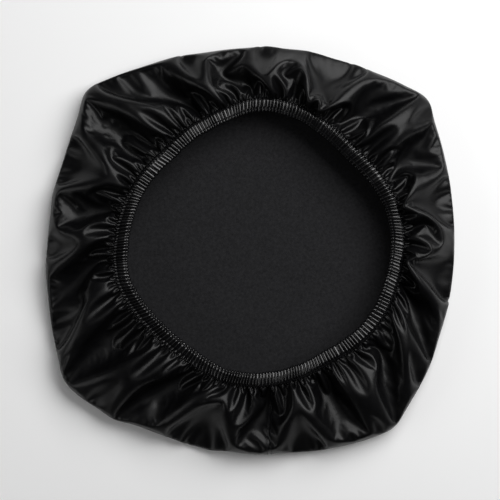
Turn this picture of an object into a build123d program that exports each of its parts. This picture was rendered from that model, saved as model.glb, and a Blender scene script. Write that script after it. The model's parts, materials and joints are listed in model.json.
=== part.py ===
from build123d import *
import math
import os

# Elastic-mouthed spare tire cover, lying empty on its round face with the mouth up.
#
# Millimetres.  +Z is up, the face panel lies on Z = 0, and the origin is under the middle of the
# laid-out cover.  The mouth has its own upright axis a little off the middle, because the empty
# cover settles unevenly.  Every cloth layer is a thin closed solid of the cloth's own thickness.
# The hem is a body of its own: it rises off the face as the side band is drawn up round a tire.

os.makedirs("parts", exist_ok=True)

# ---------------------------------------------------------------- driving dimensions
vinyl = 0.6  # coated outer layer
lining = 0.6  # brushed inner layer
cloth = vinyl + lining

# The ground line of the empty cover, as the corners of its rounded outline.  A round face drawn in
# by its gathered band lies as a soft square with four blunt corners.
ground_points = [
    (371, 4),
    (365, 107),
    (342, 208),
    (315, 277),
    (261, 307),
    (142, 349),
    (5, 369),
    (-139, 348),
    (-241, 316),
    (-288, 294),
    (-314, 233),
    (-356, 103),
    (-369, -12),
    (-361, -131),
    (-338, -229),
    (-302, -271),
    (-202, -319),
    (-106, -352),
    (-9, -368),
    (121, -364),
    (207, -345),
    (259, -321),
    (302, -256),
    (350, -136),
]
corner_share = 0.45  # how much of the shorter run each rounded corner may take
station_count = 36  # places round the ground line that the side band is drawn through

piping_d = 4.4  # corded piping round the face
piping_core_d = 3.0
piping_flange = 13.0  # width of the flange sewn into the face seam
binding_width = 7.0  # tape over the raw edges of the face seam
binding_height = 1.6
binding_round = 0.6
binding_gap = 2.0  # between the band and the tape

mouth_x = 18.0  # the elastic mouth's axis
mouth_y = 14.0
mouth_r = 230.0  # inner edge of the hem with the elastic relaxed
hem_width = 26.0
hem_height = 9.0  # the hem is as thick as its pleats stand
hem_z = 50.0
hem_wall = 1.6
hem_corner = 1.8

elastic_width = 20.0
elastic_thickness = 1.4
elastic_lap = 36.0  # sewn overlap of the elastic's ends
lap_rows = 3

thread_width = 0.8
thread_height = 0.4
outer_row_inset = 3.0  # stitch rows, in from the hem's two edges
inner_row_inset = 5.0

# The side band's section, from the face seam over the crest to the hem: how far in towards the
# mouth, as a share of the way to the hem, and how high.  It ends a little inside the hem's edge,
# where a round cut trims it.
band_section = [
    (0.0, 1.8),
    (0.015, 18.0),
    (0.10, 44.0),
    (0.27, 65.0),
    (0.52, 76.0),
    (0.80, 70.0),
    (1.02, 57.0),
]
band_span = 105.0  # usual way from the face seam to the hem
band_inset = 6.6  # the band stands just inside the piping's bead
body_gap = 0.5  # round the hem, so that it lifts clear of the band

seam_angle = -90.0  # the band's closing seam and the elastic's overlap, seen from above
seam_foot = 6.0  # the closing seam's tape and stitches start this high
seam_tape_width = 14.0
seam_tape = 0.8
seam_row_spacing = 8.0
seam_reach = 300.0  # middle of the band, from the mouth's axis, at the closing seam
seam_cut = 200.0  # length of the cut across the band there

# ---------------------------------------------------------------- derived sizes
lining_z = vinyl
flange_z = vinyl + lining
binding_z = flange_z + vinyl
binding_inset = band_inset + cloth + binding_gap
hem_top = hem_z + hem_height
hem_outer_r = mouth_r + hem_width
band_end_r = hem_outer_r + body_gap
elastic_r = mouth_r + (hem_width - elastic_width) / 2
elastic_z = hem_z + hem_wall
lap_z = elastic_z + elastic_thickness


# ---------------------------------------------------------------- helpers
def widest_radii(points):
    """The radius that each corner of a closed run of points has room for."""
    radii = []
    for i, point in enumerate(points):
        back = Vector(*points[i - 1]) - Vector(*point)
        ahead = Vector(*points[(i + 1) % len(points)]) - Vector(*point)
        half_turn = math.radians(180 - back.get_angle(ahead)) / 2
        radii.append(corner_share * min(back.length, ahead.length) / math.tan(half_turn))
    return radii


def ground_face(inset, z=0.0):
    """Flat face inside the ground line, with its edge that far inside the line."""
    with BuildSketch(Plane.XY.offset(z)) as face:
        with BuildLine():
            add(ground.line)
        make_face()
        offset(amount=-inset, mode=Mode.REPLACE)
    return face.sketch


def ground_ring(outer_inset, width, z):
    """Flat ring that follows the ground line."""
    with BuildSketch(Plane.XY.offset(z)) as ring:
        with BuildLine():
            add(ground.line)
        make_face()
        offset(amount=-outer_inset, mode=Mode.REPLACE)
        offset(amount=-width, mode=Mode.SUBTRACT)
    return ring.sketch


def mouth_ring(inner_r, width, z):
    """Flat ring about the mouth's axis."""
    with BuildSketch(Plane.XY.offset(z)) as ring:
        with Locations(mouth):
            Circle(inner_r + width)
            Circle(inner_r, mode=Mode.SUBTRACT)
    return ring.sketch


def band_point(station, inset, share):
    """A ground station moved in by the inset, then by its share of the way to the hem."""
    out = station - Vector(*mouth)
    radius = out.length - inset + (band_end_r - out.length + band_inset) * share
    place = Vector(*mouth) + out.normalized() * radius
    return (place.X, place.Y)


def inward_normals():
    """At each station of the band's section, the way into the cover, as (to the mouth, up)."""
    run = [Vector(share * band_span, height) for share, height in band_section]
    normals = [(1.0, 0.0)]
    for i in range(1, len(run)):
        along = run[min(i + 1, len(run) - 1)] - run[i - 1]
        normals.append((along.Y / along.length, -along.X / along.length))
    return normals


def band_form(depth):
    """Solid that fills the band, with its surface that far inside the band's outer skin."""
    with BuildPart() as form:
        for (share, height), (inward, up) in zip(band_section, inward_normals()):
            with BuildSketch(Plane.XY.offset(height + up * depth)):
                with BuildLine():
                    inset = band_inset + inward * depth
                    Spline(*[band_point(s, inset, share) for s in stations], periodic=True)
                make_face()
        loft()
    return form.part


# ---------------------------------------------------------------- ground line, mouth and forms
with BuildLine() as rough:
    FilletPolyline(*ground_points, radius=widest_radii(ground_points), close=True)
middle = rough.line.bounding_box().center()
centred = [(x - middle.X, y - middle.Y) for x, y in ground_points]
with BuildLine() as ground:
    FilletPolyline(*centred, radius=widest_radii(centred), close=True)

mouth = (mouth_x - middle.X, mouth_y - middle.Y)
mouth_axis = Location((*mouth, 0))
seam = Location((*mouth, 0), (0, 0, seam_angle))
seam_box = (seam_cut, hem_height * 10)
seam_middle = seam * Location((seam_reach, 0, seam_foot + seam_box[1] / 2))
stations = [ground.wire() @ (i / station_count) for i in range(station_count)]

stitch_form = band_form(-thread_height)
skin_form = band_form(0.0)
middle_form = band_form(vinyl)
inner_form = band_form(cloth)
tape_form = band_form(cloth + seam_tape)

bead_path = ground_face(piping_d / 2, piping_d / 2).wires()[0]
bead_plane = Plane(origin=bead_path @ 0, z_dir=bead_path % 0)

# ---------------------------------------------------------------- face
with BuildPart() as face_panel:
    extrude(ground_face(piping_d + 0.2), amount=vinyl)
face_panel.part.label = "face_panel"
export_step(face_panel.part, "parts/face_panel.step")

with BuildPart() as face_lining:
    extrude(ground_face(piping_d + 0.4, lining_z), amount=lining)
face_lining.part.label = "face_lining"
export_step(face_lining.part, "parts/face_lining.step")

# ---------------------------------------------------------------- face seam
with BuildPart() as piping_cord:
    with BuildSketch(bead_plane):
        Circle(piping_core_d / 2)
    sweep(path=bead_path)
piping_cord.part.label = "piping_cord"
export_step(piping_cord.part, "parts/piping_cord.step")

with BuildPart() as piping_cover:
    with BuildSketch(bead_plane):
        Circle(piping_d / 2)
    sweep(path=bead_path)
    extrude(ground_ring(piping_d / 2, piping_d / 2 + piping_flange, flange_z), amount=vinyl)
    add(piping_cord.part, mode=Mode.SUBTRACT)
piping_cover.part.label = "piping_cover"
export_step(piping_cover.part, "parts/piping_cover.step")

with BuildPart() as face_seam_binding:
    extrude(ground_ring(binding_inset, binding_width, binding_z), amount=binding_height)
    fillet(face_seam_binding.edges().group_by(Axis.Z)[-1], binding_round)
face_seam_binding.part.label = "face_seam_binding"
export_step(face_seam_binding.part, "parts/face_seam_binding.step")

with BuildPart() as face_seam_stitch:
    stitch_inset = binding_inset + (binding_width - thread_width) / 2
    extrude(
        ground_ring(stitch_inset, thread_width, binding_z + binding_height), amount=thread_height
    )
face_seam_stitch.part.label = "face_seam_stitch"
export_step(face_seam_stitch.part, "parts/face_seam_stitch.step")

# ---------------------------------------------------------------- side band
with BuildPart() as side_band:
    add(skin_form)
    add(middle_form, mode=Mode.SUBTRACT)
    with Locations(mouth_axis):
        Cylinder(band_end_r, 4 * hem_top, mode=Mode.SUBTRACT)
side_band.part.label = "side_band"
export_step(side_band.part, "parts/side_band.step")

with BuildPart() as side_band_lining:
    add(middle_form)
    add(inner_form, mode=Mode.SUBTRACT)
    with Locations(mouth_axis):
        Cylinder(band_end_r, 4 * hem_top, mode=Mode.SUBTRACT)
side_band_lining.part.label = "side_band_lining"
export_step(side_band_lining.part, "parts/side_band_lining.step")

# ---------------------------------------------------------------- the band's closing seam
with BuildPart() as band_seam_tape:
    add(inner_form)
    add(tape_form, mode=Mode.SUBTRACT)
    with Locations(mouth_axis):
        Cylinder(band_end_r, 4 * hem_top, mode=Mode.SUBTRACT)
    with Locations(seam_middle):
        Box(seam_box[0], seam_tape_width, seam_box[1], mode=Mode.INTERSECT)
band_seam_tape.part.label = "band_seam_tape"
export_step(band_seam_tape.part, "parts/band_seam_tape.step")

with BuildPart() as band_seam_stitch:
    add(stitch_form)
    add(skin_form, mode=Mode.SUBTRACT)
    with Locations(mouth_axis):
        Cylinder(band_end_r, 4 * hem_top, mode=Mode.SUBTRACT)
    with Locations(seam_middle):
        with GridLocations(0, seam_row_spacing, 1, 2):
            Box(seam_box[0], thread_width, seam_box[1], mode=Mode.INTERSECT)
band_seam_stitch.part.label = "band_seam_stitch"
export_step(band_seam_stitch.part, "parts/band_seam_stitch.step")

# ---------------------------------------------------------------- hem
with BuildPart() as hem_casing:
    extrude(mouth_ring(mouth_r, hem_width, hem_z), amount=hem_height)
    fillet(hem_casing.edges().filter_by(GeomType.CIRCLE), hem_corner)
    extrude(
        mouth_ring(mouth_r + hem_wall, hem_width - 2 * hem_wall, elastic_z),
        amount=hem_height - 2 * hem_wall,
        mode=Mode.SUBTRACT,
    )
hem_casing.part.label = "hem_casing"
export_step(hem_casing.part, "parts/hem_casing.step")

with BuildPart() as hem_elastic:
    extrude(mouth_ring(elastic_r, elastic_width, lap_z), amount=elastic_thickness)
    with Locations(seam_middle):
        Box(seam_box[0], elastic_lap, seam_box[1], mode=Mode.INTERSECT)
    extrude(mouth_ring(elastic_r, elastic_width, elastic_z), amount=elastic_thickness)
hem_elastic.part.label = "hem_elastic"
export_step(hem_elastic.part, "parts/hem_elastic.step")

with BuildPart() as elastic_lap_stitch:
    lap_middle = Location((elastic_r + elastic_width / 2, 0, lap_z + elastic_thickness))
    with Locations(seam * lap_middle):
        with GridLocations(0, elastic_lap / lap_rows, 1, lap_rows):
            Box(
                elastic_width - 4,
                thread_width,
                thread_height,
                align=(Align.CENTER, Align.CENTER, Align.MIN),
            )
elastic_lap_stitch.part.label = "elastic_lap_stitch"
export_step(elastic_lap_stitch.part, "parts/elastic_lap_stitch.step")

with BuildPart() as hem_outer_stitch:
    row_r = hem_outer_r - outer_row_inset
    extrude(mouth_ring(row_r - thread_width, thread_width, hem_top), amount=thread_height)
    extrude(mouth_ring(row_r - thread_width, thread_width, hem_z), amount=-thread_height)
hem_outer_stitch.part.label = "hem_outer_stitch"
export_step(hem_outer_stitch.part, "parts/hem_outer_stitch.step")

with BuildPart() as hem_inner_stitch:
    row_r = mouth_r + inner_row_inset
    extrude(mouth_ring(row_r, thread_width, hem_top), amount=thread_height)
    extrude(mouth_ring(row_r, thread_width, hem_z), amount=-thread_height)
hem_inner_stitch.part.label = "hem_inner_stitch"
export_step(hem_inner_stitch.part, "parts/hem_inner_stitch.step")
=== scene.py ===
import json
import math

import bpy
import numpy as np
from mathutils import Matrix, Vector


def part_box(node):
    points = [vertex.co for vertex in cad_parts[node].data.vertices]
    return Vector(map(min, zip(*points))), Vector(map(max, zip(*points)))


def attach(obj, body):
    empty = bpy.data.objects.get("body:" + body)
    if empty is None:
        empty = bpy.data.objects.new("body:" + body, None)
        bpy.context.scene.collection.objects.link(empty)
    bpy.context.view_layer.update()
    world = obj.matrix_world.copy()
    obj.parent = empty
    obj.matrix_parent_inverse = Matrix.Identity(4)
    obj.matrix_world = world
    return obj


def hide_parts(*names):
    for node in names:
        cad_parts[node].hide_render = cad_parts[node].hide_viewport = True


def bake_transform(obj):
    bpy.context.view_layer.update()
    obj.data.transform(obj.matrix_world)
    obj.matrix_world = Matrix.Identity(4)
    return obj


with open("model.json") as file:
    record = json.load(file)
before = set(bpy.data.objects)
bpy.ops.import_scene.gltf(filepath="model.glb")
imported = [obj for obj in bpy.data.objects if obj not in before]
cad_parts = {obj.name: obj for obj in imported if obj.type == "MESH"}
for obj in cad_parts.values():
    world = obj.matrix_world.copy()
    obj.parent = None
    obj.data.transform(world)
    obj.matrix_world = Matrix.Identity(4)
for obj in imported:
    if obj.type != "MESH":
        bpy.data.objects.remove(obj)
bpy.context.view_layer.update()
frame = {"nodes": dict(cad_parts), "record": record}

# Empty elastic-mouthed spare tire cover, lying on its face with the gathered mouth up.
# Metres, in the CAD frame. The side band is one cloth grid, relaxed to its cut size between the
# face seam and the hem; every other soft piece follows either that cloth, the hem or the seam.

MM = 0.001
scene = bpy.context.scene

# ----- camera and light
VIEW_WIDTH = 0.895  # what the picture takes in at the cover's middle height
VIEW_CENTRE = (-0.0011, 0.0012)
CAMERA_HEIGHT = 3.2
COVER_MIDDLE = 0.03  # height that the view and the lights are set for
SENSOR_WIDTH_MM = 36.0

camera = bpy.data.objects.new("Camera", bpy.data.cameras.new("Camera"))
scene.collection.objects.link(camera)
camera.location = (*VIEW_CENTRE, CAMERA_HEIGHT)
camera.data.sensor_width = SENSOR_WIDTH_MM
camera.data.lens = SENSOR_WIDTH_MM * (CAMERA_HEIGHT - COVER_MIDDLE) / VIEW_WIDTH
camera.data.clip_end = 30.0
scene.camera = camera


def area_light(name, place, size, power):
    """Soft rectangular light that looks at the cover's middle."""
    data = bpy.data.lights.new(name, "AREA")
    data.shape = "RECTANGLE"
    data.size, data.size_y = size
    data.energy = power
    lamp = bpy.data.objects.new(name, data)
    scene.collection.objects.link(lamp)
    lamp.location = place
    way = Vector((0.0, 0.0, COVER_MIDDLE)) - Vector(place)
    lamp.rotation_euler = way.to_track_quat("-Z", "Y").to_euler()


world = bpy.data.worlds.new("World")
world.use_nodes = True
background = world.node_tree.nodes["Background"]
background.inputs["Color"].default_value = (1.0, 1.0, 1.0, 1.0)
background.inputs["Strength"].default_value = 0.05
scene.world = world
scene.view_settings.view_transform = "Standard"

area_light("Key", place=(1.4, 1.4, 2.0), size=(3.2, 2.0), power=112.0)
area_light("Top", place=(0.3, 0.3, 3.8), size=(3.0, 3.0), power=9.0)
area_light("Fill", place=(-1.9, -0.6, 1.1), size=(1.6, 0.8), power=9.0)

# ----- sizes
mouth_mount = next(m for m in frame["record"]["mounts"] if m["name"] == "elastic_mouth")
MOUTH = np.array(mouth_mount["pos_m"][:2])
hem_low, hem_high = (np.array(v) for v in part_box("hem_casing"))
HEM_WIDTH = (hem_high[0] - hem_low[0]) / 2 - mouth_mount["dims"]["r_mm"] * MM
HEM_MIDDLE_Z = (hem_low[2] + hem_high[2]) / 2
CASING_HALF_WIDTH = HEM_WIDTH / 2 - 1.0 * MM
SEAM_ANGLE = math.radians(-90)  # where the band's closing seam is

STRIP_HEIGHT = 171 * MM  # side strip, from the face seam to the hem's outer stitch row
EASE = 1.045  # the strip's length against the face seam that it is eased into
FOOT_INSET = 1.6 * MM  # from the face panel's edge to the band's foot
PIPING_REACH = 4.6 * MM  # from the face panel's edge to the piping's outer side
CLOTH_LAYER = 0.6 * MM
LAYER_PITCH = 0.62 * MM  # from one cloth layer's outer side to the next one's
PLEATS = 336  # of the side band beside the hem
PLEAT_WAVE = np.array([0.0, 1.0, 0.0, -1.0])  # one pleat, over four places

# Middle of the hem round the mouth's axis, every 15 degrees from +X, in millimetres
HEM_RADII = [
    245, 242, 233, 226, 231, 241, 245, 234, 229, 226, 233, 240,
    246, 252, 243, 237, 237, 246, 245, 241, 237, 243, 246, 244,
]

# How far the hem lies turned against the face seam, every 15 degrees from +X, in degrees
TWIST = [1, -2, -5, 8, 8, 2, -1, -3, -4, -4, 7, 6, 1, -6, -9, -5, 8, 4, -2, -5, -7, -3, 9, 6]
EVENLY = 0.75  # share of the hem's gathering that is even

# The band's main folds: height and half width in millimetres, then places along the crest, each as
# the angle round the mouth in degrees and the share of the way from the hem to the face seam
FOLDS = [
    (9, 5, [(0, 0.03), (358, 0.15), (355, 0.2)]),
    (11, 7, [(358, 0.3), (352, 0.6), (347, 0.92)]),
    (8, 5, [(352, 0.05), (348, 0.26)]),
    (9, 5, [(4, 0.05), (5, 0.22), (5, 0.5), (7, 0.75), (11, 0.87), (17, 0.9)]),
    (9, 4.5, [(8.5, 0.05), (8.5, 0.4), (11, 0.55), (18, 0.63), (26, 0.47)]),
    (8, 4, [(12.5, 0.05), (13.5, 0.35), (17, 0.5), (21, 0.54), (26, 0.44)]),
    (7, 4, [(14.5, 0.05), (17, 0.25), (22, 0.37), (26, 0.32)]),
    (6, 4, [(18, 0.03), (21, 0.2), (25, 0.3)]),
    (11, 6, [(24, 0.03), (27, 0.3), (31, 0.55), (33, 0.8), (37, 0.97)]),
    (7, 4, [(28, 0.03), (31, 0.16), (34, 0.2)]),
    (7, 4, [(32, 0.03), (35, 0.14), (36, 0.26)]),
    (12, 6, [(41, 0.03), (48, 0.26), (42, 0.58), (38.5, 0.78), (42, 0.97)]),
    (9, 6, [(53, 0.05), (48, 0.4), (43, 0.64)]),
    (11, 8, [(58, 0.05), (54, 0.4), (46, 0.88)]),
    (9, 8, [(64, 0.05), (59, 0.45), (50, 0.9)]),
    (9, 6, [(69, 0.05), (66, 0.45), (62, 0.92)]),
    (7, 5, [(72, 0.05), (69, 0.4), (66, 0.65)]),
    (10, 6, [(75, 0.03), (73, 0.3), (72, 0.96)]),
    (8, 5, [(76, 0.05), (77.3, 0.5), (78, 0.52), (80, 0.05)]),
    (11, 6, [(84, 0.03), (86, 0.25), (85.5, 0.8), (82, 0.97)]),
    (7, 4, [(89, 0.03), (90, 0.19), (92, 0.19), (92.5, 0.03)]),
    (7, 5, [(88.5, 0.2), (91, 0.52)]),
    (9, 5, [(95, 0.05), (97, 0.42), (100, 0.5), (101, 0.3), (99.5, 0.15)]),
    (11, 6, [(98, 0.0), (101.5, 0.15), (104, 0.5), (101, 0.94)]),
    (12, 7, [(103.5, 0.05), (107, 0.3), (112, 0.6), (117.5, 0.96)]),
    (7, 4, [(107, 0.03), (109.5, 0.26)]),
    (12, 6, [
        (110, 0.05), (114, 0.3), (119, 0.55), (124, 0.64), (126, 0.55), (123, 0.3), (119.5, 0.08),
    ]),
    (7, 4, [(113, 0.03), (115, 0.22)]),
    (12, 6, [(128, 0.03), (129, 0.3), (130.5, 0.56), (136, 0.75), (141, 0.94)]),
    (9, 5, [(138, 0.03), (134, 0.3), (131, 0.55)]),
    (7, 4, [(134, 0.02), (133.5, 0.2)]),
    (8, 5, [(149, 0.03), (146, 0.2), (141, 0.3)]),
    (10, 6, [(152, 0.05), (151, 0.3), (148, 0.5), (145, 0.7), (142, 0.52)]),
    (7, 4, [(155, 0.03), (153, 0.12), (151.5, 0.2)]),
    (12, 8, [(164, 0.03), (158, 0.35), (152, 0.7), (148, 0.94)]),
    (11, 8, [(170.5, 0.03), (168, 0.35), (164, 0.65), (160.5, 0.9)]),
    (11, 7, [(175, 0.05), (176, 0.6), (170, 0.88), (167, 0.97)]),
    (9, 7, [(182, 0.03), (182, 0.4), (184, 0.8)]),
    (8, 6, [(186, 0.05), (187, 0.4)]),
    (7, 6, [(190, 0.1), (193, 0.4), (196, 0.7)]),
    (11, 7, [(194, 0.03), (198, 0.35), (203, 0.6), (207, 0.93)]),
    (7, 4, [(202, 0.03), (203, 0.24)]),
    (12, 7, [(206, 0.03), (208, 0.3), (213, 0.5), (218, 0.73), (226, 0.82)]),
    (8, 5, [(212, 0.05), (216, 0.3), (223, 0.6)]),
    (12, 6, [
        (216, 0.05), (218, 0.3), (224, 0.5), (228, 0.58), (230, 0.48), (231.5, 0.2), (231, 0.05),
    ]),
    (5, 3.5, [(220, 0.05), (220.5, 0.3)]),
    (5, 3.5, [(223, 0.05), (225, 0.4)]),
    (5, 3.5, [(227, 0.05), (228, 0.35)]),
    (10, 5, [(237, 0.05), (235, 0.3), (236.5, 0.42), (240, 0.47), (244, 0.25), (248, 0.03)]),
    (5, 3.5, [(240, 0.08), (241.5, 0.27), (244, 0.12)]),
    (12, 9, [(262, 0.25), (255, 0.55), (245, 0.75), (232, 0.93)]),
    (7, 5, [(252, 0.05), (253, 0.35)]),
    (8, 4.5, [(258.5, 0.05), (260.5, 0.32), (263, 0.05)]),
    (11, 7, [(268, 0.05), (264, 0.5), (262.5, 0.75), (264, 0.96)]),
    (8, 6, [(271, 0.05), (272, 0.5)]),
    (11, 6, [(276, 0.03), (277.5, 0.3), (280, 0.5), (282, 0.47), (282.5, 0.25), (279.5, 0.03)]),
    (10, 6, [(282, 0.5), (283.5, 0.8), (287, 0.94)]),
    (11, 7, [(287, 0.03), (286.5, 0.15), (289, 0.4), (293, 0.55), (300, 0.6)]),
    (8, 5, [(290, 0.03), (293, 0.15), (298, 0.34), (294, 0.42)]),
    (13, 6, [
        (297, 0.03), (301, 0.25), (303, 0.42), (300.5, 0.6),
        (303, 0.75), (309, 0.84), (317, 0.84), (322, 0.78),
    ]),
    (13, 6, [
        (330, 0.05), (328.5, 0.25), (326, 0.55), (322.5, 0.74),
        (316, 0.56), (310, 0.42), (313, 0.28), (318, 0.06),
    ]),
    (6, 4, [(322, 0.05), (320.5, 0.4)]),
    (7, 4, [(334, 0.05), (330, 0.28)]),
    (7, 4, [(340, 0.05), (337, 0.14), (333, 0.3)]),
    (12, 6, [(349, 0.08), (345, 0.28), (340.5, 0.46), (338, 0.43), (340, 0.22), (344, 0.03)]),
    (11, 8, [(338, 0.5), (330, 0.74), (324, 0.92)]),
]

FOLD_SPREAD = 2.1  # how much wider the folds start than they are listed
FOLD_RISE = 1.5  # how much higher they start

# Where folds push the band's foot out over the face seam: angle round the mouth in degrees, how
# far in millimetres, and half width in degrees
BULGES = [
    (40, 5.5, 4), (62, 2.5, 5), (76, 5, 8), (88, 4, 4), (114, 1.5, 5),
    (140, 5.5, 4), (167, 2.5, 4), (188, 2, 5), (216, 3.5, 4), (230, 6.5, 4),
    (254, 6.5, 5), (270, 2.5, 6), (306, 3, 4), (324, 3, 6), (346, 3.5, 9),
]
WALL_BACK_MM = 1.6  # how far the outer wall stays back where no fold pushes it out
WALL_WIDEST_MM = 15  # height at which the outer wall stands out furthest

# The band's section: share of the way in from the face seam to the hem, and height in millimetres
BAND_SECTION = [
    (0.0, 2.4), (-0.055, 7), (-0.08, 14), (-0.055, 23), (0.03, 34), (0.14, 43),
    (0.3, 50), (0.5, 54), (0.72, 55.5), (0.88, 55.5), (1.0, 55),
]
BAND_RUN_MM = 105.0  # about the way in from the face seam to the hem


# ----- curves
def periodic(values, where):
    """Smooth closed curve through evenly spaced values, read at where (turns, any range)."""
    values = np.asarray(values, float)
    n = len(values)
    x = (np.asarray(where) % 1.0) * n
    k = np.floor(x).astype(int)
    f = x - k
    a, b, c, d = (values[(k + o) % n] for o in (-1, 0, 1, 2))
    if values.ndim > 1:
        f = f[..., None]
    return b + 0.5 * f * (c - a + f * (2 * a - 5 * b + 4 * c - d + f * (3 * (b - c) + d - a)))


def noise_ring(count, seed):
    """Random values from -1 to 1, for periodic() to run through; each use has its own seed."""
    return np.random.default_rng(seed).uniform(-1, 1, count)


def face_rim():
    """The face panel's edge as a closed run of points, starting at the band's closing seam."""
    mesh = frame["nodes"]["face_panel"].data
    points = np.array([v.co[:] for v in mesh.vertices])
    rim = np.unique(np.round(points[points[:, 2] < 0.1 * MM][:, :2], 7), axis=0)
    angle = np.arctan2(rim[:, 1] - MOUTH[1], rim[:, 0] - MOUTH[0])
    return rim[np.argsort((angle - SEAM_ANGLE) % (2 * np.pi))]


RIM = face_rim()
RIM_STEPS = np.linalg.norm(np.roll(RIM, -1, 0) - RIM, axis=1)
RIM_LENGTH = RIM_STEPS.sum()
RIM_ALONG = np.concatenate([[0], np.cumsum(RIM_STEPS)])
CLOSED_RIM = np.vstack([RIM, RIM[:1]])
NEARBY = 0.004  # turns either side over which the edge's direction is read


def on_rim(turns):
    """Points of the face panel's edge, at shares of its length."""
    along = (turns % 1.0) * RIM_LENGTH
    return np.stack([np.interp(along, RIM_ALONG, CLOSED_RIM[:, k]) for k in (0, 1)], -1)


def rim_at(turns, inset=0.0):
    """Points along the face panel's edge, at shares of its length, moved in by the inset."""
    here = on_rim(turns)
    way = on_rim(turns + NEARBY) - on_rim(turns - NEARBY)
    way /= np.linalg.norm(way, axis=-1, keepdims=True)
    inward = np.stack([-way[..., 1], way[..., 0]], -1)
    return here + inward * inset


def rim_frame(turns, inset):
    """Place and outward way along the face seam."""
    here = rim_at(turns, inset)
    inner = rim_at(turns, inset + 1 * MM)
    out = here - inner
    return here, out / np.linalg.norm(out, axis=1, keepdims=True)


def hem_angles():
    """Hem angle of each place along the strip: part gathered evenly, part straight across from the
    face seam, and turned a little towards the corners that the folds run to."""
    turns = np.arange(720) / 720
    rim = rim_at(turns)
    across = np.unwrap(np.arctan2(rim[:, 1] - MOUTH[1], rim[:, 0] - MOUTH[0]))
    twist = periodic(TWIST, across / (2 * np.pi))
    even = across[0] + 2 * np.pi * turns
    straight = across + np.radians(twist)
    even += (straight - even).mean()
    offset = EVENLY * even + (1 - EVENLY) * straight - 2 * np.pi * turns
    return offset + np.radians(periodic(noise_ring(90, 5), turns) * 0.35)


HEM_OFFSETS = hem_angles()


def hem_frame(turns):
    """Place on the hem's middle line and outward way, at shares of the strip's length."""
    angle = 2 * np.pi * turns + periodic(HEM_OFFSETS, turns)
    radius = periodic(HEM_RADII, angle / (2 * np.pi)) * MM
    radius = radius + periodic(noise_ring(70, 8), turns) * 0.7 * MM
    out = np.stack([np.cos(angle), np.sin(angle)], -1)
    return MOUTH + out * radius[..., None], out


def hem_lift(turns):
    """Height of the hem's middle, which sinks and rises a little round the mouth."""
    return HEM_MIDDLE_Z + periodic(noise_ring(14, 11), turns) * 2.2 * MM


# ----- meshes
def new_object(name, points, faces):
    """Smooth-shaded mesh object from its points and arrays of faces, each array of one kind."""
    mesh = bpy.data.meshes.new(name)
    mesh.vertices.add(len(points))
    mesh.vertices.foreach_set("co", np.asarray(points, np.float32).ravel())
    sizes = np.concatenate([np.full(len(f), f.shape[1]) for f in faces])
    corners = np.concatenate([f.ravel() for f in faces])
    mesh.loops.add(len(corners))
    mesh.loops.foreach_set("vertex_index", corners.astype(np.int32))
    mesh.polygons.add(len(sizes))
    starts = np.concatenate([[0], np.cumsum(sizes)[:-1]]).astype(np.int32)
    mesh.polygons.foreach_set("loop_start", starts)
    mesh.polygons.foreach_set("loop_total", sizes.astype(np.int32))
    mesh.update(calc_edges=True)
    mesh.validate()
    mesh.polygons.foreach_set("use_smooth", np.full(len(sizes), True))
    obj = bpy.data.objects.new(name, mesh)
    scene.collection.objects.link(obj)
    return obj


def quads(rows, cols, offset=0, wrap_rows=True, wrap_cols=False, flip=False):
    """Faces of a grid whose points run row by row; a wrap joins its last row or column to the first."""
    r = np.arange(rows if wrap_rows else rows - 1)
    c = np.arange(cols if wrap_cols else cols - 1)
    r, c = np.meshgrid(r, c, indexing="ij")
    r2, c2 = (r + 1) % rows, (c + 1) % cols
    f = np.stack([r * cols + c, r2 * cols + c, r2 * cols + c2, r * cols + c2], -1).reshape(-1, 4)
    return (f[:, ::-1] if flip else f) + offset


def shell(name, top, bottom, wrap=True):
    """Closed thin solid between two like grids, each (around, across, 3)."""
    n, m = top.shape[:2]
    size = n * m
    r = np.arange(n if wrap else n - 1)
    r2 = (r + 1) % n
    edges = []
    for c, flip in ((0, False), (m - 1, True)):
        e = np.stack([r * m + c, r * m + c + size, r2 * m + c + size, r2 * m + c], -1)
        edges.append(e[:, ::-1] if flip else e)
    if not wrap:
        c = np.arange(m - 1)
        for k, flip in ((0, True), (n - 1, False)):
            e = np.stack([k * m + c, k * m + c + size, k * m + c + 1 + size, k * m + c + 1], -1)
            edges.append(e[:, ::-1] if flip else e)
    upper = quads(n, m, wrap_rows=wrap)
    lower = quads(n, m, offset=size, wrap_rows=wrap, flip=True)
    points = np.vstack([top.reshape(-1, 3), bottom.reshape(-1, 3)])
    return new_object(name, points, [upper, lower, *edges])


def normals(grid):
    """Unit normals of a grid that closes on itself round the mouth."""
    du = np.roll(grid, -1, 0) - np.roll(grid, 1, 0)
    dv = np.gradient(grid, axis=1)
    n = np.cross(du, dv)
    return n / (np.linalg.norm(n, axis=-1, keepdims=True) + 1e-12)


# ----- side band: its first lie
def catmull(points, count):
    """Evenly numbered points along a smooth open curve through the given ones."""
    p = np.array(points, float)
    p = np.vstack([2 * p[0] - p[1], p, 2 * p[-1] - p[-2]])
    t = np.linspace(0, len(points) - 1 - 1e-9, count)
    k = t.astype(int)
    f = (t - k)[:, None]
    a, b, c, d = p[k], p[k + 1], p[k + 2], p[k + 3]
    return b + 0.5 * f * (c - a + f * (2 * a - 5 * b + 4 * c - d + f * (3 * (b - c) + d - a)))


def section_rows(count):
    """Share and height at evenly spaced rows along the band's section."""
    dense = catmull(BAND_SECTION, 600)
    run = dense * np.array([BAND_RUN_MM, 1.0])
    along = np.concatenate([[0], np.cumsum(np.linalg.norm(np.diff(run, axis=0), axis=1))])
    s = np.linspace(0, along[-1], count)
    return np.interp(s, along, dense[:, 0]), np.interp(s, along, dense[:, 1]) * MM


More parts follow.
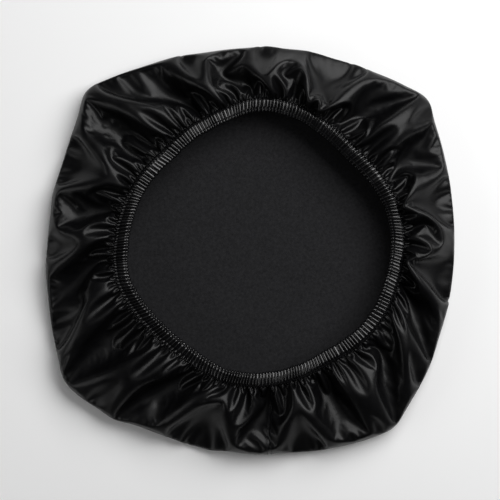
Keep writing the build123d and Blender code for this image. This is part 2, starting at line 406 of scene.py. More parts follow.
def foot_bulge(foot):
    """How far the band's outer wall stands out past the piping, at its foot points."""
    angle = np.degrees(np.arctan2(foot[:, 1] - MOUTH[1], foot[:, 0] - MOUTH[0]))
    bumps = 0.0
    for where, far, wide in BULGES:
        away = (angle - where + 180) % 360 - 180
        bumps = bumps + far * np.exp(-((away / wide) ** 2))
    return (bumps - WALL_BACK_MM) * MM


def first_lie(around, rows):
    """The band before it settles: arched from its foot at the face seam to the hem."""
    turns = np.arange(around) / around
    foot, out_of_seam = rim_frame(turns, FOOT_INSET)
    bulge = foot_bulge(foot)
    middle, out = hem_frame(turns)
    head = middle + out * CASING_HALF_WIDTH
    share, height = section_rows(rows)
    plan = foot[:, None] + (head - foot)[:, None] * share[None, :, None]
    outer = np.exp(-(((height / MM - WALL_WIDEST_MM) / 12) ** 2)) * (height > 2.6 * MM)
    plan = plan + out_of_seam[:, None] * (bulge[:, None] * outer[None])[..., None]
    lift = (hem_lift(turns) - HEM_MIDDLE_Z)[:, None] * share[None, :] ** 2
    return np.concatenate([plan, (height[None] + lift)[..., None]], -1)


def fold_heights(plan, least):
    """How far the main folds stand above the band's even arch, at plan places; least is how far
    out a fold must run to count. Folds that stay near the hem fade out along their crest."""
    turns = np.arange(1440) / 1440
    rim = rim_at(turns)
    rim_angle = np.unwrap(np.arctan2(rim[:, 1] - MOUTH[1], rim[:, 0] - MOUTH[0]))
    rim_reach = np.hypot(rim[:, 0] - MOUTH[0], rim[:, 1] - MOUTH[1])
    total = np.zeros(plan.shape[:2])
    for height, width, crest in FOLDS:
        if max(share for _, share in crest) < least:
            continue
        full_length = crest[-1][1] > 0.6 or crest[len(crest) // 2][1] > 0.6
        line = catmull([(math.radians(a), s) for a, s in crest], 28)
        angle = line[:, 0]
        hem_r = periodic(HEM_RADII, angle / (2 * np.pi)) * MM + HEM_WIDTH / 2
        wrapped = (angle - rim_angle[0]) % (2 * np.pi) + rim_angle[0]
        seam_r = np.interp(wrapped, rim_angle, rim_reach)
        r = hem_r + (seam_r - hem_r) * line[:, 1]
        xy = MOUTH + np.stack([np.cos(angle), np.sin(angle)], -1) * r[:, None]
        nearest = np.full(plan.shape[:2], np.inf)
        strength = np.zeros(plan.shape[:2])
        for k, point in enumerate(xy):
            gap = np.hypot(plan[..., 0] - point[0], plan[..., 1] - point[1])
            near = gap < nearest
            nearest = np.where(near, gap, nearest)
            here = 1.0 if full_length else min(1.0, (len(xy) - k) / 9)
            strength = np.where(near, here, strength)
        wide = width * FOLD_SPREAD * (width / 7) ** 0.6 * MM
        bump = height * FOLD_RISE * MM * strength * np.exp(-((nearest / wide) ** 2) ** 0.8)
        total = np.maximum(total, bump) + 0.2 * np.minimum(total, bump)
    return total


# ----- side band: settling
def pull_together(a, b, wa, wb, rest, k, only_short=False):
    """Moves paired points towards their rest distance, by the share k and as far as each may."""
    d = b - a
    length = np.sqrt(np.einsum("...i,...i->...", d, d)) + 1e-9
    gap = length - rest
    if only_short:
        gap = np.minimum(gap, 0.0)
    d *= (k * gap / (length * (wa + wb)))[..., None]
    a += d * wa[..., None]
    b -= d * wb[..., None]


def keep_apart(a, b, way, least):
    """Pushes paired points apart, along a plan way, to the least distance."""
    gap = least - np.einsum("...i,...i->...", b[..., :2] - a[..., :2], way)
    push = np.maximum(gap, 0.0)[..., None] * way * 0.5
    a[..., :2] -= push
    b[..., :2] += push


DRAG = 0.9  # share of its last move that a point carries into the next step
SHEAR = 0.35  # stiffness of a cell's diagonals
BEND = 0.8  # stiffness against tight folds
BROAD_BEND = 0.3  # stiffness against broader ones, away from the hem
BROAD_SHARE = 0.7  # share of the rows, from the face seam, that this second one holds
WALL_SHARE = 0.24  # share of the band's rows that make its outer wall
WALL_PUSH = 0.25 * MM  # how far the outer wall presses out each step
WALL_ROUND = 80 * MM  # twice the radius that the outer wall keeps, up and down
BAND_FLOOR = 2.0 * MM  # the band settles no lower than this
LEAST_BESIDE = 0.40  # least plan distance between neighbouring columns, as a share of their cell
LEAST_ALONG = 0.05  # the same between rows, where the wall doesn't stand upright


def settle(cloth, rest_u, rest_v, steps, sweeps, goal, pull):
    """Relaxes a closed grid of cloth to its cut size; its first and last rows stay, and its outer
    wall presses out as far as it may. The goal, if any, pulls less and less."""
    p = cloth.astype(np.float32)
    n, m = p.shape[:2]
    w = np.ones(m, np.float32)
    w[0] = w[-1] = 0.0
    loose = w + 1e-6
    ru = rest_u.astype(np.float32)
    rv = rest_v.astype(np.float32)[:, None]
    rd = np.sqrt(((ru[1:] + ru[:-1]) / 2) ** 2 + rv * rv)
    radial = p[:, -1, :2] - p[:, 0, :2]
    radial /= np.linalg.norm(radial, axis=-1, keepdims=True)
    inward = np.repeat(radial[:, None], m, 1)
    sideways = np.stack([inward[..., 1], -inward[..., 0]], -1)
    wall = np.clip(1 - np.arange(m) / (m - 1) / WALL_SHARE, 0, 1).astype(np.float32)
    reach_out = (FOOT_INSET + PIPING_REACH + foot_bulge(p[:, 0])).astype(np.float32)[:, None]
    last = p.copy()
    inner = slice(1, -1)
    one = w[inner]
    neighbours = (
        (slice(0, None, 2), slice(1, None, 2)),
        (slice(1, -1, 2), slice(2, None, 2)),
        (slice(-1, None), slice(0, 1)),
    )
    for step in range(steps):
        move = (p - last) * DRAG
        last[:] = p
        p[:, inner] += move[:, inner]
        p[..., :2] -= inward * (wall * WALL_PUSH)[None, :, None]
        if pull:
            p[:, inner] += pull * (1 - step / steps) * (goal[:, inner] - p[:, inner])
        for _ in range(sweeps):
            for i, j in neighbours:
                a, b = p[i], p[j]
                pull_together(a[:, inner], b[:, inner], one, one, ru[inner], 1.0)
                pull_together(a[:, :-1], b[:, 1:], loose[:-1], loose[1:], rd[i], SHEAR)
                pull_together(a[:, 1:], b[:, :-1], loose[1:], loose[:-1], rd[i], SHEAR)
                keep_apart(a[:, inner], b[:, inner], sideways[i][:, inner], ru[inner] * LEAST_BESIDE)
            for k in (0, 1):
                a, b = p[:, k:-1:2], p[:, k + 1 :: 2]
                pull_together(a, b, loose[k:-1:2], loose[k + 1 :: 2], rv, 1.0)
                keep_apart(a, b, inward[:, k:-1:2], rv * (LEAST_ALONG - wall[:-1][k::2]))
            for span, stiff, reach in ((2, BEND, inner), (4, BROAD_BEND, slice(1, int(m * BROAD_SHARE)))):
                blocks = p.reshape(n // (2 * span), 2 * span, m, 3)
                some = w[reach]
                for a, b in (
                    (blocks[:, :span], blocks[:, span:]),
                    (blocks[:-1, span:], blocks[1:, :span]),
                    (blocks[-1:, span:], blocks[:1, :span]),
                ):
                    a, b = a[:, :, reach], b[:, :, reach]
                    pull_together(a, b, some, some, span * ru[reach], stiff, only_short=True)
                for k in range(2 * span):
                    near, far = slice(k, -span, 2 * span), slice(k + span, None, 2 * span)
                    a, b = p[:, near], p[:, far]
                    pull_together(a, b, loose[near], loose[far], span * rv, stiff, only_short=True)
            past = -np.einsum("...i,...i->...", p[..., :2] - p[:, :1, :2], inward) - reach_out
            past += (p[..., 2] - WALL_WIDEST_MM * MM) ** 2 / WALL_ROUND
            p[..., :2] += np.maximum(past, 0.0)[..., None] * inward
            p[:, 0] = cloth[:, 0]
            p[:, -1] = cloth[:, -1]
            np.maximum(p[..., 2], BAND_FLOOR, out=p[..., 2])
    return p


def finer(cloth):
    """The same cloth with twice the points each way."""
    n, m = cloth.shape[:2]
    up = np.empty((2 * n, m, 3), np.float32)
    up[0::2] = cloth
    a, b, c, d = np.roll(cloth, 1, 0), cloth, np.roll(cloth, -1, 0), np.roll(cloth, -2, 0)
    up[1::2] = (9 * (b + c) - a - d) / 16
    out = np.empty((2 * n, 2 * m - 1, 3), np.float32)
    out[:, 0::2] = up
    ext = np.concatenate([2 * up[:, :1] - up[:, 1:2], up, 2 * up[:, -1:] - up[:, -2:-1]], 1)
    out[:, 1::2] = (9 * (ext[:, 1:-2] + ext[:, 2:-1]) - ext[:, :-3] - ext[:, 3:]) / 16
    return out


def pleat_seed(cloth, amplitude, reach, seed):
    """Starts pleats beside the hem, fading out over the reach."""
    n, m = cloth.shape[:2]
    turns = np.arange(n) / n
    wave = PLEAT_WAVE[np.arange(n) % 4]
    lively = 1.0 + 0.45 * periodic(noise_ring(n // 12, seed), turns)
    longer = reach * (1.0 + 0.6 * periodic(noise_ring(n // 10, seed + 1), turns))
    away = (m - 1 - np.arange(m)) * STRIP_HEIGHT / (m - 1)
    fade = np.exp(-((away[None] / longer[:, None]) ** 2))
    cloth += normals(cloth) * (wave * lively)[:, None, None] * (amplitude * fade)[..., None]


def blurred(values, spread):
    """Values smoothed round the band, over so many columns."""
    n = values.shape[0]
    wave = np.exp(-0.5 * (2 * np.pi * np.fft.rfftfreq(n) * spread) ** 2)
    return np.fft.irfft(np.fft.rfft(values, axis=0) * wave[:, None], n, axis=0)


def folded(base, rest_u, least):
    """The arched band with its main folds raised until they take up the gathered cloth."""
    lift = fold_heights(base[..., :2], least)
    rows = np.linspace(0, 1, base.shape[1])
    lift = lift * (np.clip(rows / 0.1, 0, 1) * np.clip((1 - rows) / 0.22, 0, 1) ** 0.7)[None]
    way = normals(base)
    plain = np.linalg.norm(np.roll(base, -1, 0) - base, axis=-1)
    scale = np.ones_like(lift)
    spread = len(base) / 37  # columns over which the gathered cloth is shared out
    for _ in range(5):
        cloth = base + way * (lift * scale)[..., None]
        run = np.linalg.norm(np.roll(cloth, -1, 0) - cloth, axis=-1)
        have = blurred(run - plain, spread) + 0.02 * MM
        want = np.maximum(blurred(rest_u[None] - plain, spread), 0.02 * MM)
        scale = np.clip(scale * np.clip(want / have, 0.4, 2.2) ** 0.5, 0.35, 2.4)
    return base + way * (lift * scale)[..., None]


# Settling from coarse to fine: how far the started pleats reach from the hem, their height, how
# much of the cloth beside the hem counts as taken up by finer pleats, steps, sweeps in each step,
# and how strongly the first folds hold
LEVELS = [
    (0, 0, 120 * MM, 60, 8, 0.12),
    (50 * MM, 1.6 * MM, 60 * MM, 50, 8, 0.0),
    (25 * MM, 1.4 * MM, 22 * MM, 30, 6, 0.0),
    (10 * MM, 1.2 * MM, 0.0, 15, 4, 0.0),
]


def drape():
    """The settled side band, as a grid of places round it and from face seam to hem."""
    around, rows = PLEATS // 2, 14
    cloth = first_lie(around, rows)
    arch = np.linalg.norm(np.diff(cloth, axis=1), axis=-1).sum(1)
    height = STRIP_HEIGHT * (0.2 + 0.8 * arch / arch.mean())
    goal = None
    for level, (reach, amplitude, gather, steps, sweeps, pull) in enumerate(LEVELS):
        if level:
            cloth = finer(cloth)
            around, rows = cloth.shape[:2]
            edge = first_lie(around, 3)
            cloth[:, 0], cloth[:, -1] = edge[:, 0], edge[:, -1]
            height = np.repeat(height, 2)
        cell_u = RIM_LENGTH * EASE / around
        cell_v = height / (rows - 1)
        away = (rows - 1 - np.arange(rows)) * STRIP_HEIGHT / (rows - 1)
        across = np.linalg.norm(np.roll(cloth, -1, 0)[..., :2] - cloth[..., :2], axis=-1)
        at_hem = across.mean(0)[-1]
        plain = at_hem + (cell_u - at_hem) * np.arange(rows)[::-1] / (rows - 1)
        hidden = np.clip(1 - away / gather, 0, 1) if gather else np.zeros(rows)
        hidden = hidden * hidden * (3 - 2 * hidden)
        rest_u = cell_u + (plain * 1.02 - cell_u) * hidden
        beside_seam = np.exp(-np.arange(rows) * STRIP_HEIGHT / (rows - 1) / (9 * MM))
        rest_u -= cell_u * (1 - 1 / EASE) * beside_seam
        if level == 0:
            cloth = goal = folded(cloth, rest_u, least=0.4)
        if amplitude:
            pleat_seed(cloth, amplitude, reach, 40 + level)
        if not gather:
            cloth[:, -1, 2] += PLEAT_WAVE[np.arange(around) % 4] * 1.4 * MM
        cloth = settle(cloth, rest_u, cell_v, steps, sweeps, goal, pull)
        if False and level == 2:
            cloth = finer(cloth)
            break
    return cloth.astype(float)


BAND = drape()


# ----- rings, discs and stitches
def section_loop(half_width, half_height, count, square):
    """Evenly spaced (out, up) points of a closed section, anticlockwise from its outer side: an
    ellipse where square is 2, and more and more a box above it."""
    a = np.linspace(0, 2 * np.pi, 2001)
    x = half_width * np.sign(np.cos(a)) * np.abs(np.cos(a)) ** (2 / square)
    z = half_height * np.sign(np.sin(a)) * np.abs(np.sin(a)) ** (2 / square)
    along = np.concatenate([[0], np.cumsum(np.hypot(np.diff(x), np.diff(z)))])
    t = np.arange(count) / count * along[-1]
    return np.stack([np.interp(t, along, x), np.interp(t, along, z)], -1)


def loop_normals(loop):
    """Outward unit normals of a closed section loop."""
    way = np.roll(loop, -1, 0) - np.roll(loop, 1, 0)
    way /= np.linalg.norm(way, axis=1, keepdims=True)
    return np.stack([way[:, 1], -way[:, 0]], -1)


def ring_points(middle, out, level, loop, swell=None):
    """Places of a section loop carried round a closed line; swell moves each along its normal."""
    offsets = np.repeat(loop[None], len(middle), 0)
    if swell is not None:
        offsets = offsets + loop_normals(loop)[None] * swell[..., None]
    xy = middle[:, None] + out[:, None] * offsets[..., :1]
    return np.concatenate([xy, (level[:, None] + offsets[..., 1])[..., None]], -1)


def ring_solid(name, points, wrap=True, inside=None):
    """Solid of section loops carried along a closed line, or an open one with ends; the points of
    its inside make it a tube."""
    n, m = points.shape[:2]
    faces = [quads(n, m, wrap_rows=wrap, wrap_cols=True, flip=True)]
    if not wrap:
        faces += [np.arange(m)[None], ((n - 1) * m + np.arange(m))[None, ::-1]]
    if inside is not None:
        faces.append(quads(n, m, offset=n * m, wrap_cols=True))
        points = np.concatenate([points, inside])
    return new_object(name, points.reshape(-1, 3), faces)


def disc_solid(name, around, rings, inset, low, high):
    """Closed flat disc inside the face seam; low and high give heights at plan places."""
    turns = np.arange(around) / around
    edge = rim_at(turns, inset)
    share = (np.arange(1, rings + 1) / rings) ** 0.85
    plan = edge[:, None] * share[None, :, None]
    size = around * rings
    r = np.arange(around)
    first, after = r * rings, (r + 1) % around * rings
    points, faces = [], []
    for k, (level, flip) in enumerate(((high, False), (low, True))):
        z = level(plan, share[None])
        middle_z = level(np.zeros((1, 1, 2)), np.zeros((1, 1)))[0, 0]
        points += [np.concatenate([plan, z[..., None]], -1).reshape(-1, 3)]
        points += [np.array([[0.0, 0.0, middle_z]])]
        base = k * (size + 1)
        faces.append(quads(around, rings, offset=base, flip=not flip))
        fan = np.stack([first, after, np.full(around, size)], -1) + base
        faces.append(fan[:, ::-1] if flip else fan)
    a, b = first + rings - 1, after + rings - 1
    faces.append(np.stack([b, a, a + size + 1, b + size + 1], -1)[:, ::-1])
    return new_object(name, np.vstack(points), faces)


def upward(count):
    """Straight-up ways for so many stitches."""
    return np.tile([0.0, 0.0, 1.0], (count, 1))


# Places along a stitch and the share of its thickness there, and the sides of its section
STITCH_PROFILE = [(0.0, 0.25), (0.12, 0.8), (0.35, 1.0), (0.65, 1.0), (0.88, 0.8), (1.0, 0.25)]
STITCH_SIDES = 6


def stitches(name, starts, ends, ups, radius, rise):
    """Thread stitches as small bowed capsules, from start to end places."""
    way = ends - starts
    length = np.linalg.norm(way, axis=1, keepdims=True)
    way = way / length
    side = np.cross(ups, way)
    side /= np.linalg.norm(side, axis=1, keepdims=True)
    up = np.cross(way, side)
    corner = np.arange(STITCH_SIDES)
    rows = []
    for t, fat in STITCH_PROFILE:
        middle = starts + way * length * t + up * (rise * math.sin(math.pi * t))
        for a in corner / STITCH_SIDES * 2 * np.pi:
            rows.append(middle + (side * math.cos(a) + up * math.sin(a)) * radius * fat)
    points = np.stack(rows, 1)
    count, each = points.shape[:2]
    base = (np.arange(count) * each)[:, None, None]
    walls = quads(len(STITCH_PROFILE), STITCH_SIDES, wrap_rows=False, wrap_cols=True)
    caps = np.stack([corner[::-1], each - STITCH_SIDES + corner])
    faces = [(walls[None] + base).reshape(-1, 4), (caps[None] + base).reshape(-1, STITCH_SIDES)]
    return new_object(name, points.reshape(-1, 3), faces)


# ----- the hem
HEM_PLEATS = 256
HEM_COLUMNS = HEM_PLEATS * 16
CASING_HALF_HEIGHT = 4.6 * MM
OUTER_ROW, INNER_ROW = 9.6 * MM, -7.6 * MM  # the two stitch rows, out from the hem's middle
ROW_STITCHES = 498
ELASTIC_HALF_WIDTH, ELASTIC_HALF_THICK = 9.2 * MM, 0.65 * MM
PLEAT_HEIGHT = 4.4 * MM
PUFF_MIDDLE = 0.65  # share of a pleat's height at which the casing keeps its section
LAP = 0.0115  # half of the elastic's overlap at the closing seam, in turns
LAP_REACH = 0.018  # half of the casing that makes room for it, in turns

casing_loop = section_loop(CASING_HALF_WIDTH, CASING_HALF_HEIGHT, count=40, square=2.6)
hem_turns = np.arange(HEM_COLUMNS) / HEM_COLUMNS
at_lap = np.exp(-((np.minimum(hem_turns, 1 - hem_turns) / LAP_REACH) ** 4))[:, None]


def pleat_puff():
    """Shape of the casing's pleats, from 0 in the valleys to 1, round the hem and its section."""
    slant = periodic(noise_ring(26, 61), hem_turns)[:, None] * 2.6
    phase = 2 * np.pi * HEM_PLEATS * hem_turns[:, None]
    phase = phase + slant * (casing_loop[:, 0] / (HEM_WIDTH / 2))[None]
    phase = phase + 1.6 * periodic(noise_ring(110, 62), hem_turns)[:, None]
    return np.abs(np.sin(phase / 2)) ** 0.5


def pleat_liveliness():
    """How strong each pleat is; they are flatter where the elastic overlaps."""
    lively = 1.0 + 0.5 * periodic(noise_ring(HEM_PLEATS, 63), hem_turns + 0.5 / HEM_PLEATS)[:, None]
    lively = lively * (1.0 + 0.3 * periodic(noise_ring(40, 64), hem_turns))[:, None]
    return np.minimum(lively, 1.4) * (1 - 0.5 * at_lap)


def casing_room():
    """How far each place of the casing's section can sink before its inner side nears the elastic."""
    facing = np.abs(loop_normals(casing_loop)) + 0.05
    beside = (np.abs(casing_loop[:, 0]) - (ELASTIC_HALF_WIDTH + 0.8 * MM)) / facing[:, 0]
    clear = ELASTIC_HALF_THICK + (0.85 + 1.7 * at_lap) * MM
    above = (np.abs(casing_loop[:, 1]) - clear) / facing[:, 1]
    return np.maximum(np.maximum(beside, above), 0.0)


def casing_swell():
    """How far the casing stands out from its plain section: pleats, with stitch rows drawn in."""
    rows_pinch = 0.0
    for row in (OUTER_ROW, INNER_ROW):
        rows_pinch = rows_pinch + np.exp(-(((casing_loop[:, 0] - row) / (1.5 * MM)) ** 2))
    rows_pinch = np.where(np.abs(casing_loop[:, 1]) > 1.0 * MM, rows_pinch, 0.0)
    lip = np.exp(-(((casing_loop[:, 0] + HEM_WIDTH / 2) / (5 * MM)) ** 2))
    swell = (pleat_puff() - PUFF_MIDDLE) * pleat_liveliness() * PLEAT_HEIGHT
    swell = swell * (1 - 0.3 * rows_pinch) * (1 + 0.15 * lip)
    swell = swell - rows_pinch * 0.4 * MM + lip * 0.3 * MM
    return np.maximum(swell, -casing_room()) + at_lap * 0.7 * MM


hem_middle, hem_out = hem_frame(hem_turns)
hem_level = hem_lift(hem_turns)
swell = casing_swell()
casing_points = ring_points(hem_middle, hem_out, hem_level, casing_loop, swell)
casing_inside = ring_points(hem_middle, hem_out, hem_level, casing_loop, swell - CLOTH_LAYER)
casing = ring_solid("Hem_casing", casing_points, inside=casing_inside)


def on_casing(turns, row):
    """Place of a thread on the casing's upper side, at a distance out from the hem's middle; it
    follows the pleats only part of the way."""
    middle, out = hem_frame(turns)
    top = np.argmin(np.abs(casing_loop[:, 0] - row) + np.where(casing_loop[:, 1] > 0, 0, 1))
    column = np.round(turns * HEM_COLUMNS).astype(int) % HEM_COLUMNS
    plain = hem_lift(turns) + casing_loop[top, 1] - 0.8 * MM
    height = 0.4 * plain + 0.6 * casing_points[column, top, 2]
    return np.concatenate([middle + out * row, height[:, None]], 1)


def hem_row(name, row, seed):
    """One stitch row round the hem, at a distance out from its middle."""
    uneven = 0.1 * np.random.default_rng(seed).uniform(-1, 1, ROW_STITCHES)
    turns = (np.arange(ROW_STITCHES) + uneven) / ROW_STITCHES
    up = upward(ROW_STITCHES)
    starts = on_casing(turns, row) + up * 0.25 * MM
    ends = on_casing(turns + 0.72 / ROW_STITCHES, row) + up * 0.25 * MM
    return stitches(name, starts, ends, up, radius=0.36 * MM, rise=0.25 * MM)


outer_stitches = hem_row("Hem_outer_stitches", OUTER_ROW, 71)
inner_stitches = hem_row("Hem_inner_stitches", INNER_ROW, 72)

LAP_RISE = 1.6 * MM  # how far the elastic's last end rises over its first one
elastic_turns = np.linspace(-LAP, 1 + LAP, 1001)
elastic_middle, elastic_out = hem_frame(elastic_turns)
ribs = section_loop(ELASTIC_HALF_WIDTH, ELASTIC_HALF_THICK, count=96, square=8.0)
rib_wave = np.cos(ribs[:, 0] / (2.4 * MM) * 2 * np.pi) * 0.1 * MM * (np.abs(ribs[:, 0]) < 8.6 * MM)
rib_swell = np.tile(rib_wave, (len(elastic_turns), 1))
over = np.clip((elastic_turns - 1 + 3 * LAP) / (2 * LAP), 0, 1)
elastic_level = hem_lift(elastic_turns) + over * over * (3 - 2 * over) * LAP_RISE
elastic_points = ring_points(elastic_middle, elastic_out, elastic_level, ribs, rib_swell)
elastic = ring_solid("Hem_elastic", elastic_points, wrap=False)

# Rows of stitches that hold the overlap, in turns, and each stitch's ends across the elastic
LAP_ROWS = (-0.0075, 0.0, 0.0075)
LAP_STITCH_ENDS_MM = ((-8, -5.2), (-4.6, -1.8), (-1.2, 1.6), (2.2, 5.0), (5.6, 8.2))
lap_starts, lap_ends = [], []
for turn in LAP_ROWS:
    middle, out = hem_frame(np.array([turn]))
    z = hem_lift(np.array([turn]))[0] + 2.4 * MM
    for start, end in LAP_STITCH_ENDS_MM:
        lap_starts.append([*(middle[0] + out[0] * start * MM), z])
        lap_ends.append([*(middle[0] + out[0] * end * MM), z])
lap_stitches = stitches(
    "Elastic_lap_stitches", np.array(lap_starts), np.array(lap_ends), upward(len(lap_starts)),
    radius=0.4 * MM, rise=0.2 * MM,
)

# ----- side band and its closing seam
SEAM_GROOVE = 0.9 * MM  # depth of the closing seam
SEAM_GROOVE_COLUMNS = 1.1
THREAD_COLUMNS = (-2, 2)  # a stitch row either side of it
TAPE_TOP, TAPE_LOW = 1.3 * MM, 1.9 * MM  # under the band's outer side
TAPE_REACH = 4  # columns either side of the seam

columns = np.arange(len(BAND))
from_seam = np.minimum(columns, len(BAND) - columns)
groove = SEAM_GROOVE * np.exp(-((from_seam / SEAM_GROOVE_COLUMNS) ** 2))
BAND_NORMALS = normals(BAND)
BAND = BAND - BAND_NORMALS * groove[:, None, None]


def under_band(depth):
    """The band's grid, sunk by a depth."""
    return BAND - BAND_NORMALS * depth


skin = shell("Side_band_skin", BAND, under_band(CLOTH_LAYER))
backing = shell("Side_band_backing", under_band(LAYER_PITCH), under_band(LAYER_PITCH + CLOTH_LAYER))
tape_columns = np.arange(-TAPE_REACH, TAPE_REACH + 1) % len(BAND)
tape_rows = np.arange(4, BAND.shape[1] - 3)  # clear of the face seam and the hem
tape_top, tape_low = (under_band(depth)[tape_columns][:, tape_rows] for depth in (TAPE_TOP, TAPE_LOW))
tape = shell("Band_seam_tape", tape_top, tape_low, wrap=False)
thread_starts, thread_ends, thread_ups = [], [], []
for column in THREAD_COLUMNS:
    line, ups = BAND[column], BAND_NORMALS[column]
    for j in range(5, BAND.shape[1] - 6, 2):
        thread_starts.append(line[j] + ups[j] * 0.12 * MM)
        thread_ends.append(0.6 * line[j + 1] + 0.4 * line[j + 2] + ups[j + 1] * 0.12 * MM)
        thread_ups.append(ups[j])
thread_runs = [np.array(run) for run in (thread_starts, thread_ends, thread_ups)]
band_stitches = stitches("Band_seam_stitches", *thread_runs, radius=0.34 * MM, rise=0.2 * MM)

# ----- face and its seam
PUCKERS = 240  # round the face panel's edge, where the seam draws it in
SEAM_COLUMNS = 1200
PIPING_RADIUS = 2.2 * MM
BINDING_INSET = 8.7 * MM  # from the face panel's edge to the binding's middle
FACE_STITCHES = 640
FACE_STITCH_Z = 3.35 * MM


def level_at(height):
    """A flat side for a disc."""
    return lambda plan, share: np.full(plan.shape[:-1], height)


def lining_high(plan, share):
    """The lining's inner side, a little wavy where it isn't sewn down."""
    rise = 0.5 * np.sin(plan[..., 0] * 21 + 2 * np.sin(plan[..., 1] * 13))
    rise = rise + 0.4 * np.sin(plan[..., 1] * 27 + 1.5 * np.sin(plan[..., 0] * 17) + 1.0)
    rise = (rise + 0.9) * 0.35 * MM * (1 - share**8)
    return 1.2 * MM + rise


def panel_low(plan, share):
    """The panel's outer side, puckered beside the seam."""
    angle = np.arctan2(plan[..., 1], plan[..., 0])
    return 0.35 * MM * share**30 * (0.5 + 0.5 * np.cos(angle * PUCKERS))


lining = disc_solid("Face_lining", 720, 60, inset=0.2 * MM, low=level_at(LAYER_PITCH), high=lining_high)
panel = disc_solid("Face_panel", 960, 70, inset=0.0, low=panel_low, high=level_at(CLOTH_LAYER))

seam_turns = np.arange(SEAM_COLUMNS) / SEAM_COLUMNS


def seam_ring(name, inset, height, loop, swell=None):
    """A section loop carried round the face seam."""
    middle, out = rim_frame(seam_turns, inset)
    return ring_solid(name, ring_points(middle, out, np.full(SEAM_COLUMNS, height), loop, swell))


bead_loop = section_loop(PIPING_RADIUS, PIPING_RADIUS, count=20, square=2.0)
bead_unevenness = 0.1 * MM * periodic(noise_ring(400, 81), seam_turns) - 0.1 * MM
bead_swell = np.tile(bead_unevenness[:, None], len(bead_loop))
piping = seam_ring("Piping", PIPING_RADIUS - PIPING_REACH, PIPING_RADIUS, bead_loop, bead_swell)
tape_loop = section_loop(3.5 * MM, 0.7 * MM, count=24, square=5.0)
binding = seam_ring("Face_seam_binding", BINDING_INSET, 2.6 * MM, tape_loop)


def face_stitch_places(turns):
    """Places of the stitch row along the binding's middle."""
    plan, _ = rim_frame(turns, BINDING_INSET)
    return np.concatenate([plan, np.full((len(turns), 1), FACE_STITCH_Z)], 1)


row_turns = np.arange(FACE_STITCHES) / FACE_STITCHES
row_ends = row_turns + 0.7 / FACE_STITCHES
face_stitches = stitches(
    "Face_seam_stitches", face_stitch_places(row_turns), face_stitch_places(row_ends),
    upward(FACE_STITCHES), radius=0.36 * MM, rise=0.2 * MM,
)


# ----- materials
def principled(name, color, roughness, **sockets):
    """Material with its node tree and shader; other sockets are set by name."""
    mat = bpy.data.materials.new(name)
    mat.use_nodes = True
    shader = mat.node_tree.nodes["Principled BSDF"]
    shader.inputs["Base Color"].default_value = (*color, 1.0)
    shader.inputs["Roughness"].default_value = roughness
    for key, value in sockets.items():
        shader.inputs[key.replace("_", " ")].default_value = value
    return mat, mat.node_tree, shader


def node(tree, kind, inputs, **settings):
    """Shader node with its inputs linked or set."""
    made = tree.nodes.new(kind)
    for key, value in settings.items():
        setattr(made, key, value)
    for key, value in inputs.items():
        if isinstance(value, bpy.types.NodeSocket):
            tree.links.new(value, made.inputs[key])
        else:
            made.inputs[key].default_value = value
    return made


def ramp(tree, factor, *stops):
    """Colour that goes from one stop to the other with the factor."""
    made = node(tree, "ShaderNodeValToRGB", {"Fac": factor})
    for element, (place, color) in zip(made.color_ramp.elements, stops):
        element.position = place
        element.color = (*color, 1)
    return made.outputs["Color"]


def noise(tree, place, scale, detail, rough=0.5):
    """Value of a cloudy texture."""
    inputs = {"Vector": place, "Scale": scale, "Detail": detail, "Roughness": rough}
    return node(tree, "ShaderNodeTexNoise", inputs).outputs["Fac"]


def joined(tree, operation, a, b):
    """Two values as their sum or product."""
    return node(tree, "ShaderNodeMath", {0: a, 1: b}, operation=operation).outputs[0]


def object_place(tree):
    """Place on a piece, in the piece's own coordinates."""
    return tree.nodes.new("ShaderNodeTexCoord").outputs["Object"]


def bumpy(tree, shader, height, strength, distance):
    """Gives the shader a surface that rises and falls with a height."""
    bump = node(tree, "ShaderNodeBump", {"Strength": strength, "Distance": distance, "Height": height})
    tree.links.new(bump.outputs["Normal"], shader.inputs["Normal"])


def vinyl_material(name, shine, smooth, rough):
    """Satin black artificial leather: fine pebbled grain and soft differences in sheen and shade."""
    mat, tree, shader = principled(name, (0.002, 0.002, 0.0022), rough, Specular_IOR_Level=shine)
    place = object_place(tree)
    grain = node(tree, "ShaderNodeTexVoronoi", {"Vector": place, "Scale": 1100.0, "Randomness": 1.0})
    height = joined(tree, "ADD", grain.outputs["Distance"], noise(tree, place, 2600.0, 2.0))
    bumpy(tree, shader, height, strength=0.10, distance=0.18 * MM)
    broad = noise(tree, place, 34.0, 5.0, 0.6)
    sheen = node(
        tree, "ShaderNodeMapRange",
        {"Value": broad, "From Min": 0.3, "From Max": 0.7, "To Min": smooth, "To Max": rough},
    )
    tree.links.new(sheen.outputs["Result"], shader.inputs["Roughness"])
    dark, light = (0.0014, 0.0014, 0.0017), (0.0026, 0.0026, 0.0029)
    tint = ramp(tree, broad, (0.3, dark), (0.7, light))
    tree.links.new(tint, shader.inputs["Base Color"])
    return mat


def cloth_material(name, dark, light, threads, rough=0.95):
    """Matt brushed cloth: crossed yarns with fuzz over them and slow mottling."""
    mat, tree, shader = principled(name, light, rough, Specular_IOR_Level=0.12)
    place = object_place(tree)
    yarns = [
        node(
            tree, "ShaderNodeTexWave",
            {"Vector": place, "Scale": threads, "Distortion": 1.2, "Detail": 2.0, "Detail Scale": 3.0},
            wave_type="BANDS", bands_direction=way,
        ).outputs["Fac"]
        for way in ("X", "Y")
    ]
    weave = joined(tree, "MULTIPLY", *yarns)
    height = joined(tree, "ADD", weave, noise(tree, place, 900.0, 6.0, 0.7))
    bumpy(tree, shader, height, strength=0.5, distance=0.4 * MM)
    tint = ramp(tree, noise(tree, place, 190.0, 8.0, 0.8), (0.32, dark), (0.68, light))
    tree.links.new(tint, shader.inputs["Base Color"])
    return mat


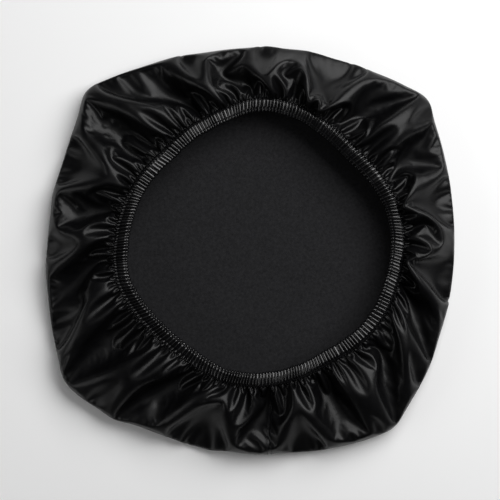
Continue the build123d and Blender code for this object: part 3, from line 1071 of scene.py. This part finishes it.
vinyl_mat = vinyl_material("Vinyl", shine=0.2, smooth=0.31, rough=0.42)
hem_mat = vinyl_material("Vinyl_stretched", shine=0.52, smooth=0.13, rough=0.2)
lining_mat = cloth_material("Lining", (0.008, 0.008, 0.0088), (0.0215, 0.0215, 0.023), 160.0)
tape_mat = cloth_material("Binding", (0.008, 0.008, 0.009), (0.016, 0.016, 0.017), 420.0)
elastic_mat = cloth_material("Elastic", (0.014, 0.014, 0.015), (0.030, 0.030, 0.031), 500.0)
cord_mat = cloth_material("Cord", (0.02, 0.02, 0.02), (0.06, 0.06, 0.06), 500.0)
thread_mat = cloth_material("Thread", (0.008, 0.008, 0.009), (0.018, 0.018, 0.020), 900.0, 0.6)
floor_mat, _, _ = principled("Floor", (0.9, 0.9, 0.9), 0.9)

# ----- floor, bodies and sheets
FLOOR_REACH = 6.0
FLOOR_Z = -0.4 * MM
floor_plan = FLOOR_REACH * np.array([(-1, -1), (1, -1), (1, 1), (-1, 1)])
floor_points = np.column_stack([floor_plan, np.full(4, FLOOR_Z)])
floor = new_object("Floor", floor_points, [np.array([[0, 1, 2, 3]])])
floor.data.materials.append(floor_mat)

# Each piece with its material, slot name, body and the CAD nodes that it replaces and hides; the side
# band's pieces, listed as blend, keep their place in the world and follow no body
PIECES = [
    (skin, vinyl_mat, "vinyl", "blend", ["side_band"]),
    (backing, lining_mat, "lining", "blend", ["side_band_lining"]),
    (tape, tape_mat, "binding", "blend", ["band_seam_tape"]),
    (band_stitches, thread_mat, "thread", "blend", ["band_seam_stitch"]),
    (panel, vinyl_mat, "vinyl", "cover", ["face_panel"]),
    (lining, lining_mat, "lining", "cover", ["face_lining"]),
    (piping, vinyl_mat, "vinyl", "cover", ["piping_cover"]),
    (binding, tape_mat, "binding", "cover", ["face_seam_binding"]),
    (face_stitches, thread_mat, "thread", "cover", ["face_seam_stitch"]),
    (casing, hem_mat, "vinyl", "hem", ["hem_casing"]),
    (elastic, elastic_mat, "elastic", "hem", ["hem_elastic"]),
    (lap_stitches, thread_mat, "thread", "hem", ["elastic_lap_stitch"]),
    (outer_stitches, thread_mat, "thread", "hem", ["hem_outer_stitch"]),
    (inner_stitches, thread_mat, "thread", "hem", ["hem_inner_stitch"]),
]
for piece, material, slot, body, nodes in PIECES:
    piece.data.materials.append(material)
    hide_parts(*nodes)
    if body == "blend":
        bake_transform(piece)
    else:
        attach(piece, body)
cord = frame["nodes"]["piping_cord"]
cord.data.materials.clear()
cord.data.materials.append(cord_mat)
